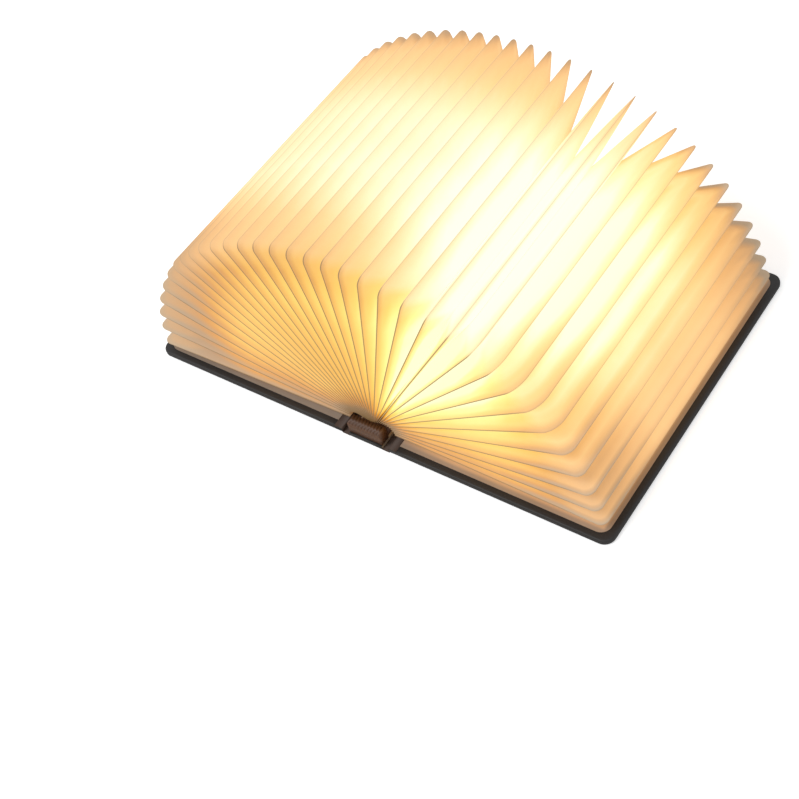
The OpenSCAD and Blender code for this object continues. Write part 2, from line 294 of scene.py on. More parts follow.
light_height = 12 * MM

# by the lean from upright in degrees: the glow at the creases along the fore edge and on the leaves at the
# near end, and what the fore edge loses towards its near and its far corner
LIT_BY_LEAN = [(-90, 0.52), (-75, 0.73), (-52, 0.78), (-35, 0.845), (-18, 0.875), (25, 0.89), (38, 0.92),
               (45, 0.88), (51, 0.84), (57, 0.80), (63, 0.74), (68, 0.60), (73, 0.54), (80, 0.48), (90, 0.44)]
END_LIT = [(-90, 0.20), (-75, 0.45), (-60, 0.57), (-40, 0.55), (0, 0.57), (18, 0.60), (30, 0.75), (42, 0.90),
           (58, 0.82), (70, 0.62), (80, 0.42), (90, 0.34)]
NEAR_LOSS = [(-90, 0.45), (-72, 0.65), (-52, 0.56), (-35, 0.40), (0, 0.36), (18, 0.25), (30, 0.06),
             (42, 0.12), (50, 0.26), (58, 0.28), (70, 0.28), (80, 0.22)]
FAR_LOSS = [(-67, 0.0), (-45, 0.3), (-20, 0.42), (30, 0.42), (50, 0.3), (60, 0.44), (70, 0.36), (80, 0.28)]
# how deep into its pleat a leaf shows past the page before it, and how much brighter it is there
SHOWN_DEPTH = [(-60, 0.1), (-40, 0.2), (-20, 0.45), (0, 0.8), (48, 0.8), (60, 0.55), (70, 0.35), (80, 0.16)]
INNER_LIFT = [(-60, 0.06), (0, 0.07), (30, 0.16), (45, 0.22), (57, 0.30), (68, 0.30), (74, 0.20), (82, 0.10)]

# as a share of that depth: where the rise inwards from the crease ends, and where shade follows on the right
inner_rise = 0.6
deep_from = (0.75, 1.1)
deep_leans = (40, 56)
deep_shade = 0.45

# where the changes along the spine start and end: towards the near end, the far end and the far tips
near_fade = (28 * MM, 88 * MM)
far_fade = (20 * MM, 92 * MM)
tip_fade = (86 * MM, 98 * MM)
# and the same by the distance from the light: near corners, far tips and the foot of the near leaves
corner_reach = (88 * MM, 128 * MM)
tip_reach = (126 * MM, 134 * MM)
foot_reach = (6 * MM, 30 * MM)
# the lowest pages on the left brighten towards the far end
far_left_fade = (-30 * MM, 60 * MM)
far_left_leans = (60, 85)
far_left_gain = 0.3

tip_loss = 0.35
foot_loss = 0.3
# the near leaves take this share of the near loss at their corners, and brighten inwards by end_lift
end_corner_share = 0.5
end_lift = 0.3
end_rise = (0.03, 0.4)
end_lift_at_corner = 0.2
# painted shade darkens the creases over the right cover most at the near corners, where the page in front shades
# them, and the paper there is more golden
right_leans = (40, 52)
right_corner_shade = 0.16
gold_from, gold_to = (38, 50), (64, 84)
gold_share = 0.6
inner_gold_loss = 0.5
# half the width of the turn from the near leaves to the fore edge
corner_turn = 8 * MM


def lean_at(point):
    """Lean in degrees of the line from the light to a point."""
    return math.degrees(math.atan2(point.x, point.z - light_height))


def reach_at(point):
    """Distance of a point from the light, square to the spine."""
    return math.hypot(point.x, point.z - light_height)


def end_share(point):
    """1 on a leaf at the near end of the pleats, 0 on a leaf along their fore edge."""
    from_fore = page_top - light_height - reach_at(point)
    return smooth(-corner_turn, corner_turn, from_fore - (page_end_y + point.y))


def inner_share(lean, depth):
    """0 at the crease of a pleat, 1 at the brightest place between it and the page before."""
    past = depth / between(SHOWN_DEPTH, lean)
    shaded = deep_shade * smooth(*deep_from, past) * smooth(*deep_leans, lean)
    return smooth(0, inner_rise, past) * (1 - shaded)


def glow_at(point, depth):
    """Glow of the paper at a point, depth 0 at the crease to 1 at the bottom of the pleat."""
    lean, reach = lean_at(point), reach_at(point)
    inner = inner_share(lean, depth)
    loss = between(NEAR_LOSS, lean)
    near_end = smooth(*near_fade, -point.y)
    far_end = smooth(*far_fade, point.y)
    corner = near_end * smooth(*corner_reach, reach)
    far_left = smooth(*far_left_fade, point.y) * smooth(*far_left_leans, -lean)
    tip = smooth(*tip_fade, point.y) * smooth(*tip_reach, reach)
    foot = 1 - smooth(*foot_reach, reach)
    fore = between(LIT_BY_LEAN, lean) - loss * near_end - between(FAR_LOSS, lean) * far_end
    fore += far_left_gain * far_left - tip_loss * tip + between(INNER_LIFT, lean) * inner
    end = between(END_LIT, lean) - end_corner_share * loss * corner - foot_loss * foot
    end += end_lift * smooth(*end_rise, depth) * mix(1, end_lift_at_corner, corner)
    # painted shade at the near corners of the pages over the right cover, least where the leaf glows brightest
    right_corner = corner * smooth(*right_leans, lean)
    return mix(fore, end, end_share(point)) - right_corner_shade * right_corner * (1 - inner)


def amber_at(point, depth):
    """How far the glow of the paper at a point turns from cream to gold."""
    lean = lean_at(point)
    right = gold_share * smooth(*gold_from, lean) * (1 - smooth(*gold_to, lean))
    return mix(right * (1 - inner_gold_loss * inner_share(lean, depth)), 1, end_share(point))


def crease_shade_at(point):
    """How strong the painted shade along the crease is: most at the near corner, least along the fore edge."""
    end = end_share(point)
    return min(end + 2 * end * (1 - end), 1)


def make_leaf_grid(rows):
    """A sheet of paper through rows of (point, depth), with its glow, its painted crease shade and its map in
    metres.
    """
    bm = bmesh.new()
    columns = len(rows[0])
    bmesh.ops.create_grid(bm, x_segments=len(rows) - 1, y_segments=columns - 1, size=1)
    glow, amber, line, from_ridge = (
        bm.verts.layers.float.new(name) for name in ("glow", "amber", "line", "from_ridge"))
    paper = bm.loops.layers.uv.new("paper")
    place = {}
    for vert in bm.verts:
        row = round((vert.co.x + 1) / 2 * (len(rows) - 1))
        column = round((vert.co.y + 1) / 2 * (columns - 1))
        place[vert] = (row, column)
    both_leaves = columns > len(leaf_columns())
    ridge = columns // 2 if both_leaves else 0
    crease = leaf_steps if both_leaves else 0
    length_along = [0]
    for a, b in zip(rows, rows[1:]):
        length_along.append(length_along[-1] + (b[crease][0] - a[crease][0]).length)
    for vert, (row, column) in place.items():
        point, depth = rows[row][column]
        vert.co = point
        vert[glow] = glow_at(point, depth)
        vert[amber] = amber_at(point, depth)
        # the painted shade along the crease, which the paper's finish reads back
        vert[line] = crease_shade_at(point)
        vert[from_ridge] = (point - rows[row][ridge][0]).length
    for face in bm.faces:
        for loop in face.loops:
            row, column = place[loop.vert]
            loop[paper].uv = (length_along[row], loop.vert[from_ridge])
    return bm


def blend_line(number, side):
    """Start and end of the turn between the spine and the place beyond a page."""
    own, outer = fan[number], fan[number + side]
    if number == crown_page:
        start = own.point(own.length / 2, 0)
        return start, start + own.across() * side * crown_blend
    own_share = own.share / outer.share
    first = 0.5 - math.sin(math.asin(1 - 2 * own_share) / 3)
    reach = 6 * first * (1 - first) * abs(outer.lean) * blend_radius
    ridge = own.point(own.length / 2, 0)
    start = ridge - own.across() * side * first * reach
    return start, start + own.across() * side * reach


def make_pleat(number, paper):
    """The folded sheet of one page, baked where it stands."""
    left = leaf_rows(number, -1)
    right = leaf_rows(number, 1)
    page = f"page_{number:02d}"
    if number == crown_page:
        pieces = [(f"pleat_{number:02d}_left", left, -1), (f"pleat_{number:02d}_right", right, 1)]
    else:
        whole = [a[:0:-1] + b for a, b in zip(left, right)]
        pieces = [(f"pleat_{number:02d}", whole, fan[number].side)]
    for name, rows, side in pieces:
        bm = make_leaf_grid(rows)
        face_out(bm, fan[number].across() * side if number == crown_page else None, fan[number])
        piece = give_wall(new_piece(name, bm, paper), paper_thickness)
        start, end = blend_line(number, side)
        fan[number + side].body
        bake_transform(piece)
        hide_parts(page)


def face_out(bm, toward, page):
    """Turns the sheet's faces to the outside of the pleat."""
    bm.normal_update()
    middle = page.point(page.length / 2, 0)
    total = sum(face.normal.dot(toward or (face.calc_center_median() - middle)) * face.calc_area()
                for face in bm.faces)
    if total < 0:
        bmesh.ops.reverse_faces(bm, faces=bm.faces)


# ---- materials

class Socket:
    """An output of a material's nodes, on which arithmetic adds Math nodes."""

    def __init__(self, finish, output):
        self.finish = finish
        self.output = output

    def __add__(self, other):
        return self.finish.math("ADD", self, other)

    def __radd__(self, other):
        return self.finish.math("ADD", other, self)

    def __sub__(self, other):
        return self.finish.math("SUBTRACT", self, other)

    def __rsub__(self, other):
        return self.finish.math("SUBTRACT", other, self)

    def __mul__(self, other):
        return self.finish.math("MULTIPLY", self, other)

    def __rmul__(self, other):
        return self.finish.math("MULTIPLY", other, self)


class Finish:
    """A material: a Principled surface with constants on its sockets, and the nodes that feed it."""

    def __init__(self, name, **constants):
        self.material = bpy.data.materials.new(name)
        self.material.use_nodes = True
        self.tree = self.material.node_tree
        self.surface = self.tree.nodes["Principled BSDF"]
        for socket, value in constants.items():
            self.surface.inputs[socket.replace("_", " ")].default_value = value

    def node(self, kind, settings=None, values=None, out=0):
        """One node of a kind, with its settings made first and then its sockets' values or links."""
        made = self.tree.nodes.new("ShaderNode" + kind)
        for setting, value in (settings or {}).items():
            if setting == "stops":
                self.set_stops(made.color_ramp, value)
            else:
                setattr(made, setting, value)
        for socket, value in (values or {}).items():
            if isinstance(value, Socket):
                self.tree.links.new(value.output, made.inputs[socket])
            else:
                made.inputs[socket].default_value = value
        return Socket(self, made.outputs[out])

    def set_stops(self, ramp, stops):
        while len(ramp.elements) < len(stops):
            ramp.elements.new(0.5)
        for element, (position, colour) in zip(ramp.elements, stops):
            element.position = position
            element.color = (*colour, 1)

    def math(self, operation, a, b):
        return self.node("Math", {"operation": operation}, {0: a, 1: b})

    def step(self, low, high, value):
        """0 below low, 1 above high and smooth between."""
        settings = {"interpolation_type": "SMOOTHSTEP"}
        return self.node("MapRange", settings, {"Value": value, "From Min": low, "From Max": high})

    def mix(self, share, a, b):
        colours = [c if isinstance(c, Socket) else (*c, 1) for c in (a, b)]
        values = {0: share, 6: colours[0], 7: colours[1]}
        return self.node("Mix", {"data_type": "RGBA"}, values, out=2)

    def ramp(self, share, stops):
        return self.node("ValToRGB", {"stops": stops}, {0: share})

    def place(self, **mapping):
        """The piece's own coordinates in metres, scaled or turned if asked."""
        where = self.node("TexCoord", out="Object")
        if mapping:
            where = self.node("Mapping", None, {"Vector": where, **mapping})
        return where

    def noise(self, where, scale, detail=3, roughness=0.5):
        values = {"Vector": where, "Scale": scale, "Detail": detail, "Roughness": roughness}
        return self.node("TexNoise", None, values)

    def feed(self, socket, value):
        self.tree.links.new(value.output, self.surface.inputs[socket])
        return self

    def bump(self, height, strength, distance):
        values = {"Height": height, "Strength": strength, "Distance": distance}
        return self.feed("Normal", self.node("Bump", None, values))


def paper_finish():
    """Warm translucent paper, lit from inside where its glow says, with painted shade along its creases and near
    its ridges.
    """
    paper = Finish("page_paper", Roughness=0.85, Specular_IOR_Level=0.2, Emission_Strength=1.0)
    glow = paper.node("Attribute", {"attribute_name": "glow"}, out="Fac")
    amber = paper.node("Attribute", {"attribute_name": "amber"}, out="Fac")
    # share of the painted shade along the creases and beside the ridges
    crease_shade_share = paper.node("Attribute", {"attribute_name": "line"}, out="Fac")
    ridge = paper.node("Attribute", {"attribute_name": "from_ridge"}, out="Fac")
    where = paper.node("UVMap", {"uv_map": "paper"})
    clouds = paper.noise(where, 55, 4)
    fibres = paper.noise(where, 900, 5, 0.7)
    # painted shade on the paper from 0.5 to 6 mm beside each crease, stronger at the near end
    ridge_shade = 1 - paper.step(0.5 * MM, 6 * MM, ridge)
    lit = glow + (clouds - 0.5) * 0.10 + (fibres - 0.5) * 0.05 - ridge_shade * (0.04 + 0.14 * crease_shade_share)
    crease = 1 - paper.step(0.25 * MM, 0.8 * MM, ridge)
    # the base colour, like the glow's cream and gold, follows the painted light and shade in lit
    colour = paper.ramp(lit, [
        (0.0, (0.44, 0.36, 0.27)), (0.18, (0.38, 0.29, 0.20)), (0.35, (0.32, 0.26, 0.18)),
        (0.6, (0.30, 0.25, 0.17)), (1.0, (0.30, 0.28, 0.24)),
    ])
    cream = paper.ramp(lit, [
        (0.0, (0.14, 0.10, 0.06)), (0.18, (0.36, 0.196, 0.08)), (0.35, (0.63, 0.338, 0.127)),
        (0.5, (0.76, 0.455, 0.19)), (0.65, (0.785, 0.56, 0.26)), (0.8, (0.80, 0.685, 0.385)),
        (0.9, (0.80, 0.77, 0.50)), (1.0, (0.81, 0.80, 0.66)),
    ])
    gold = paper.ramp(lit, [
        (0.0, (0.16, 0.085, 0.035)), (0.18, (0.42, 0.170, 0.015)), (0.35, (0.64, 0.330, 0.050)),
        (0.5, (0.75, 0.455, 0.095)), (0.65, (0.775, 0.55, 0.13)), (0.8, (0.80, 0.70, 0.22)),
        (0.9, (0.81, 0.77, 0.29)), (1.0, (0.81, 0.80, 0.50)),
    ])
    # painted shade along each crease, darkest at the near end and corners, in both the base colour and the glow
    line = crease * (0.22 + 0.63 * crease_shade_share)
    paper.feed("Base Color", paper.mix(line, colour, (0.20, 0.14, 0.09)))
    paper.feed("Emission Color", paper.mix(line, paper.mix(amber, cream, gold), (0.15, 0.09, 0.035)))
    paper.bump(fibres, 0.15, 0.1 * MM)
    return paper.material


def cloth_finish(name, outer, inner, outer_to=0.3 * MM, inner_from=0.9 * MM):
    """Grained bookcloth, of one colour on its outer face and another on its rim and turn-ins."""
    cloth = Finish(name, Roughness=0.55, Specular_IOR_Level=0.4)
    where = cloth.place()
    grain = cloth.node("TexVoronoi", {"feature": "DISTANCE_TO_EDGE"}, {"Vector": where, "Scale": 900})
    wear = cloth.noise(where, 60, 4)
    height = cloth.node("SeparateXYZ", None, {0: where}, out="Z")
    rim = cloth.step(outer_to, inner_from, height)
    colour = cloth.mix(rim, outer, inner)
    faded = cloth.mix(cloth.step(0.55, 0.8, wear) * 0.25, colour, tuple(1.5 * c for c in inner))
    cloth.feed("Base Color", faded)
    cloth.feed("Roughness", 0.48 + wear * 0.2)
    cloth.bump(cloth.step(0, 0.25, grain), 0.35, 0.06 * MM)
    return cloth.material


def plain_finish(name, colour, spread=0.12, scale=300, roughness=0.5, metallic=0.0, **constants):
    """A painted, moulded or metal surface with fine mottling in its colour, gloss and relief."""
    finish = Finish(name, Metallic=metallic, **constants)
    speckle = finish.noise(finish.place(), scale, 4)
    darker = tuple(c * (1 - spread) for c in colour)
    lighter = tuple(min(c * (1 + spread), 1) for c in colour)
    finish.feed("Base Color", finish.mix(speckle, darker, lighter))
    finish.feed("Roughness", roughness - 0.08 + speckle * 0.16)
    finish.bump(speckle, 0.1, 0.05 * MM)
    return finish.material


def wood_finish():
    """Dark stained wood with its grain along the block's width."""
    wood = Finish("block_wood", Roughness=0.5)
    where = wood.place(Scale=(60, 500, 500))
    grain = wood.noise(where, 1, 6, 0.6)
    pores = wood.noise(where, 4, 3, 0.7)
    colour = wood.mix(grain, (0.035, 0.014, 0.006), (0.15, 0.058, 0.02))
    wood.feed("Base Color", wood.mix(wood.step(0.55, 0.7, pores) * 0.5, colour, (0.03, 0.012, 0.006)))
    wood.bump(pores, 0.3, 0.1 * MM)
    return wood.material


def lining_finish():
    """Laid endpaper: fine parallel lines and soft clouds, with painted warm light from the pages except near its
    rim.
    """
    lining = Finish("lining_paper", Roughness=0.8, Specular_IOR_Level=0.2, Emission_Strength=1.0)
    where = lining.place()
    clouds = lining.noise(where, 40, 5)
    laid = {"Vector": where, "Scale": 160, "Distortion": 0.4}
    lines = lining.node("TexWave", {"bands_direction": "Y"}, laid)
    lining.feed("Base Color", lining.mix(clouds, (0.25, 0.20, 0.16), (0.33, 0.27, 0.22)))
    across = lining.node("SeparateXYZ", None, {0: where}, out="X")
    along_spine = lining.node("SeparateXYZ", None, {0: where}, out="Y")
    rim_from, rim_to, warm_to = 1.5 * MM, 4 * MM, 60 * MM
    off_end = lining.step(lining_end + rim_from, lining_end + rim_to, along_spine)
    off_fore = 1 - lining.step(lining_fore - rim_to, lining_fore - rim_from, across)
    # painted light: the pages' warm glow on the lining, given as its emission, rising away from the hinge and
    # weaker near its rim
    warm = lining.step(0, warm_to, across) * (0.25 + 0.75 * off_end * off_fore)
    lining.feed("Emission Color", lining.mix(warm, (0, 0, 0), (0.34, 0.16, 0.05)))
    lining.bump(lines * 0.5 + clouds * 0.5, 0.15, 0.05 * MM)
    return lining.material


def foil_finish():
    """Stamped pale gold foil, a little dull and uneven."""
    foil = Finish("gold_foil", Metallic=0.85)
    wear = foil.noise(foil.place(), 500, 4)
    foil.feed("Base Color", foil.mix(wear, (0.70, 0.58, 0.30), (0.90, 0.80, 0.52)))
    foil.feed("Roughness", 0.3 + wear * 0.25)
    return foil.material


def lit_finish(name, colour, shine, strength):
    """A part that gives off light, such as a light chip or the diffuser over the chips."""
    finish = Finish(name, Roughness=0.4, Emission_Strength=strength)
    glow = finish.noise(finish.place(), 200, 2)
    finish.feed("Base Color", finish.mix(glow, tuple(0.9 * c for c in colour), colour))
    finish.feed("Emission Color", finish.mix(glow, tuple(0.85 * c for c in shine), shine))
    return finish.material


NAVY = (0.022, 0.042, 0.072)
NEAR_BLACK = (0.015, 0.014, 0.014)


def finishes():
    """The finish of each material slot of the record."""
    return {
        "cover_cloth": cloth_finish("cover_cloth", NAVY, NEAR_BLACK),
        "edge_cloth": cloth_finish("edge_cloth", NEAR_BLACK, NEAR_BLACK),
        "board": plain_finish("board", (0.30, 0.24, 0.18), 0.2, 700, 0.9),
        "lining_paper": lining_finish(),
        "page_paper": paper_finish(),
        "block_wood": wood_finish(),
        "tray": plain_finish("tray", (0.72, 0.72, 0.70), 0.03, 400, 0.45),
        "screws": plain_finish("screws", (0.6, 0.6, 0.62), 0.1, 900, 0.3, 1.0),
        "cell_foil": plain_finish("cell_foil", (0.55, 0.6, 0.68), 0.06, 120, 0.35, 0.7),
        "leads": plain_finish("leads", (0.5, 0.03, 0.02), 0.1, 500, 0.45),
        "led_board": plain_finish("led_board", (0.8, 0.8, 0.76), 0.04, 500, 0.4),
        "light_chips": lit_finish("light_chips", (0.9, 0.75, 0.35), (1.0, 0.78, 0.42), 3.0),
        "diffuser": lit_finish("diffuser", (0.9, 0.88, 0.82), (1.0, 0.85, 0.55), 0.8),
        "circuit_board": plain_finish("circuit_board", (0.02, 0.16, 0.06), 0.2, 800, 0.4),
        "inlet_steel": plain_finish("inlet_steel", (0.62, 0.62, 0.63), 0.06, 700, 0.28, 1.0),
        "charge_light": plain_finish("charge_light", (0.8, 0.35, 0.06), 0.08, 500, 0.25),
        "switch_plastic": plain_finish("switch_plastic", (0.02, 0.02, 0.022), 0.2, 900, 0.5),
        "magnets": plain_finish("magnets", (0.7, 0.7, 0.72), 0.05, 800, 0.25, 1.0),
    }


finish_of = finishes()


def dress_nodes():
    """Gives each CAD node the finish of its own material slot."""
    for name, node in frame["nodes"].items():
        for slot in node.material_slots:
            key = slot.material.name.split(".")[0]
            if key in finish_of:
                slot.material = finish_of[key]


# ---- covers

def cover_edge(inset):
    """Points round the right cover from its near root to its far root, inset from the edge."""
    radius = max(corner_radius - inset, least_radius)
    fore, end = cover_fore - inset - radius, cover_half - inset
    near = [(mix(cover_root, fore, k / edge_steps), -end) for k in range(edge_steps)]
    for k in range(corner_steps + 1):
        turn = RIGHT_ANGLE * k / corner_steps
        near.append((fore + radius * math.sin(turn), radius * (1 - math.cos(turn)) - end))
    side = [(fore + radius, near[-1][1] * (1 - 2 * k / fore_steps)) for k in range(1, fore_steps)]
    return near + side + [(x, -y) for x, y in reversed(near)]


def wrap_profile():
    """Inset and height across the wrap, from the outer face round the rim to the turn-in's end."""
    turns = [RIGHT_ANGLE * k / rim_steps for k in range(rim_steps + 1)]
    low = [(cloth_round * (1 - math.sin(a)), foil_thickness + cloth_round * (1 - math.cos(a))) for a in turns]
    high = [(inset, cover_top + foil_thickness - z) for inset, z in reversed(low)]
    return [(turn_in, foil_thickness)] + low + high + [(turn_in, cover_top)]


def map_grid(bm, rows):
    """Adds a sheet through rows of points and returns its vertices, row by row."""
    wide, long = len(rows[0]), len(rows)
    made = bmesh.ops.create_grid(bm, x_segments=long - 1, y_segments=wide - 1, size=1)["verts"]
    order = sorted(made, key=lambda v: (round(v.co.x * 1e4), round(v.co.y * 1e4)))
    for vert, point in zip(order, [point for row in rows for point in row]):
        vert.co = point
    return [order[k * wide:(k + 1) * wide] for k in range(long)]


def to_side(bm, side):
    """Mirrors a right-hand mesh to the left when the side asks for it."""
    if side < 0:
        bmesh.ops.scale(bm, vec=(-1, 1, 1), verts=bm.verts)
        bmesh.ops.reverse_faces(bm, faces=bm.faces)
    return bm


def turn_faces(bm, axis, sign):
    """Turns the whole sheet over if its summed normals point against the given direction."""
    bm.normal_update()
    total = sum(face.normal[axis] * face.calc_area() for face in bm.faces)
    if total * sign < 0:
        bmesh.ops.reverse_faces(bm, faces=bm.faces)


def make_wrap(cover, side, cloth):
    """The cloth round one cover's board, with rounded rims and turn-ins."""
    bm = bmesh.new()
    paths = [(cover_edge(inset), z) for inset, z in wrap_profile()]
    rows = [[(*path[k], z) for path, z in paths] for k in range(len(paths[0][0]))]
    placed = map_grid(bm, rows)
    first = [row[0] for row in placed]
    closing = bmesh.ops.contextual_create(bm, geom=[first[0], first[-1]])["edges"]
    rim = [e for e in bm.edges if e.verts[0] in first and e.verts[1] in first]
    bmesh.ops.edgeloop_fill(bm, edges=list(set(rim + closing)))
    bmesh.ops.recalc_face_normals(bm, faces=bm.faces)
    bm.normal_update()
    low = [f for f in bm.faces if f.calc_center_median().z < 2 * foil_thickness and len(f.verts) > 4]
    if low[0].normal.z > 0:
        bmesh.ops.reverse_faces(bm, faces=bm.faces)
    piece = new_piece(f"{cover}_wrap", to_side(bm, side), cloth)
    give_wall(piece, cloth_thickness)
    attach(piece, f"{cover}_cover")
    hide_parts(f"{cover}_cloth")


def make_strip(name, profile, side, cloth):
    """A strip as long as the covers whose section is given as (x, z) points on the right-hand side."""
    bm = bmesh.new()
    places = [mix(-cover_half, cover_half, k / strip_steps) for k in range(strip_steps + 1)]
    rows = [[(x, y, z) for x, z in profile] for y in places]
    map_grid(bm, rows)
    turn_faces(bm, 2, 1)
    return new_piece(name, to_side(bm, side), cloth)


def make_hinge(cover, side, cloth):
    """The covering cloth between the spine and a cover."""
    flat = [(mix(spine_half, cover_root, k / hinge_steps), cloth_top) for k in range(hinge_steps + 1)]
    hinge = give_wall(make_strip(f"{cover}_hinge", flat, side, cloth), cloth_top)
    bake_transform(hinge)
    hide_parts(f"{cover}_hinge_cloth")


def make_root_strip(cover, side, cloth):
    """The strip of cloth over a board's bare root edge, bent over on to the lining."""
    edge, foot, top = cover_root - strip_overlap, cloth_top + 0.05 * MM, cover_top + strip_rise
    bend = [(edge, foot), (edge, top - rim_bend), (edge + strip_bend_cut, top - strip_bend_cut),
            (edge + rim_bend, top), (lining_root, top)]
    strip = give_wall(make_strip(f"{cover}_root_strip", bend, side, cloth), strip_thickness)
    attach(strip, f"{cover}_cover")


def make_spine_wrap(cloth):
    """The cloth round the spine board, turned in over its ends."""
    end, top = cover_half, spine_top + spine_cloth_thickness
    out, cut = end - rim_bend, spine_bend_cut
    profile = [(end - spine_turn_in, top), (out, top), (end - cut, top - cut), (end, top - rim_bend),
               (end, rim_bend), (end - cut, cut), (out, 0)]
    profile += [(-y, z) for y, z in reversed(profile)]
    bm = bmesh.new()
    places = [mix(-spine_half, spine_half, k / spine_steps) for k in range(spine_steps + 1)]
    map_grid(bm, [[(x, y, z) for y, z in profile] for x in places])
    turn_faces(bm, 2, -1)
    wrap = give_wall(new_piece("spine_wrap", bm, cloth), spine_cloth_thickness)
    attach(wrap, "spine")
    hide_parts("spine_cloth")


def saddle_arch(floor):
    """Points (x, z) just under the pages' feet, from the left cover over the crown to the right."""
    reach = hinge_x - lining_top - page_lift
    right = sorted((reach * page.share, page.pivot.z - foot_gap)
                   for page in fan.values() if page.side > 0 and page.pivot.z > floor + foot_gap)
    return [(-x, z) for x, z in reversed(right)] + right


def make_comb(wood):
    """The near end block: an arched saddle, and a wall cut into teeth between the pages' feet."""
    low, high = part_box("end_block_near")
    chance = random.Random(7)
    points = 2 * comb_teeth
    bm = bmesh.new()
    wall = []
    for k in range(points + 1):
        x = mix(-spine_half, spine_half, k / points)
        z = high.z - (0 if k % 2 else mix(*tooth_cuts, chance.random()))
        wall.append([(x, low.y, low.z), (x, low.y, mix(low.z, z, 0.5)), (x, low.y, z)])
    saddle_y = foot_gap - page_end_y - saddle_lap
    deepen(bm, map_grid(bm, wall), saddle_y - low.y)
    saddle = [[(x, saddle_y, low.z), (x, saddle_y, z)] for x, z in saddle_arch(low.z)]
    deepen(bm, map_grid(bm, saddle), high.y - saddle_y)
    comb = new_piece("end_block_comb", bm, wood)
    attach(comb, "spine")
    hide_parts("end_block_near")


def deepen(bm, front, depth):
    """Makes a solid of an upright sheet, by the given depth along the spine."""
    faces = list({face for row in front for vert in row for face in vert.link_faces})
    grown = bmesh.ops.extrude_face_region(bm, geom=faces)["geom"]
    verts = [g for g in grown if isinstance(g, bmesh.types.BMVert)]
    bmesh.ops.translate(bm, verts=verts, vec=(0, depth, 0))
    bmesh.ops.recalc_face_normals(bm, faces=bm.faces)


# ---- the foil ornament, drawn in millimetres on the right cover: x from the hinge line to the fore edge,
# y along the spine

# (inset from the cover's edges, width) of the rules, from the rim inwards
outer_rules = ((6.5, 1.3), (8.6, 0.5))
middle_rule = (16.5, 0.5)
rounded_rules = ((19, 1.2), (21, 0.5))
rounded_radius = 19
lozenge_inset = 12.5
leaf_inset = 18.5
# how much further the frames stay from the hinge than from the other edges
hinge_clearance = 3
lozenges_across, lozenges_along = 26, 42
big_lozenge, small_lozenge = 2.8, 1.1
bold, fine, hair = 1.3, 0.9, 0.5
leaf_points = 10
tendril_points = 34
medallion_points = 24
petals = 8


class Foil:
    """Strokes of foil on the outer face of one cover, each a hair higher than the one before it."""

    def __init__(self):
        self.bm = bmesh.new()
        self.count = 0

    def stroke(self, points, width, taper=None):
        """A line of foil along points; taper gives its width's share at each place along it."""
        self.count += 1
        z = foil_step * (self.count % foil_layers)
        closed = math.dist(points[0], points[-1]) < 1e-6
        rows = []
        last = len(points) - 1
        for k, (x, y) in enumerate(points):
            before, after = points[max(k - 1, 0)], points[min(k + 1, last)]
            if closed and k in (0, last):
                before, after = points[last - 1], points[1]
            run = math.dist(before, after)
            half = width / 2 * (taper(k / last) if taper else 1)
            nx, ny = (before[1] - after[1]) / run * half, (after[0] - before[0]) / run * half
            rows.append([((x - nx) * MM, (y - ny) * MM, z), ((x + nx) * MM, (y + ny) * MM, z)])
        map_grid(self.bm, rows)

    def frame(self, inset, width):
        """A rectangle of lines at an inset from the cover's edges."""
        left, right, top = frame_at(inset)
        corners = [(left, -top), (right, -top), (right, top), (left, top)]
        for (ax, ay), (bx, by) in zip(corners, corners[1:] + corners[:1]):
            run = math.dist((ax, ay), (bx, by))
            ex, ey = (bx - ax) / run * width / 2, (by - ay) / run * width / 2
            self.stroke([(ax - ex, ay - ey), (bx - ex, by - ey)], width)

    def arc(self, centre, radius, start, end, width, steps=20):
        """Part of a circle between two angles in degrees."""
        self.stroke([along(centre, mix(start, end, k / steps), radius) for k in range(steps + 1)], width)

    def ring(self, centre, radius, width):
        self.arc(centre, radius, 0, 360, width, steps=max(12, int(radius * 5)))

    def lozenge(self, centre, size):
        """A filled diamond."""
        x, y = centre
        self.stroke([(x - size / 2, y), (x, y), (x + size / 2, y)], size, lambda t: 1 - abs(2 * t - 1) * 0.92)

    def leaf(self, root, turn, length, width):
        """A pointed leaf that grows from root in the direction turn, in degrees."""
        points = [along(root, turn, length * k / leaf_points) for k in range(leaf_points + 1)]
        self.stroke(points, width, lambda t: 0.06 + math.sin(math.pi * t ** 0.8))

    def tendril(self, root, turn, size, hand, width):
        """A line that leaves root in the direction turn and curls in on itself, with two leaves."""
        points = [root]
        for k in range(tendril_points):
            turn += hand * (4 + 30 * (k / tendril_points) ** 1.6)
            points.append(along(points[-1], turn, size * 2.6 / tendril_points))
            if k in (6, 13):
                self.leaf(points[-1], turn - hand * 55, size * 0.32, width * 1.8)
        self.stroke(points, width, lambda t: 1 - 0.45 * t)
        self.ring(points[-1], width * 0.5, width)

    def palmette(self, root, turn, size, spread=78, leaves=9):
        """A fan of leaves over a ring, spread to both sides of the direction turn."""
        for k in range(leaves):
            lean = mix(-spread, spread, k / (leaves - 1))
            start = along(root, turn + lean, size * 0.22)
            self.leaf(start, turn + lean, size * (0.86 - abs(lean) / 260), size * 0.13)
        self.ring(root, size * 0.1, size * 0.12)


def along(root, turn, distance):
    """The place at a distance from root in the direction turn, in degrees."""
    a = math.radians(turn)
    return root[0] + math.cos(a) * distance, root[1] + math.sin(a) * distance


def frame_at(inset):
    """Left, right and half height of a frame inside the cover's edges."""
    return hinge_x / MM + inset + hinge_clearance, cover_fore / MM - inset, cover_half / MM - inset


def double_frame(foil):
    """Two rules round the cover."""
    for inset, width in outer_rules:
        foil.frame(inset, width)


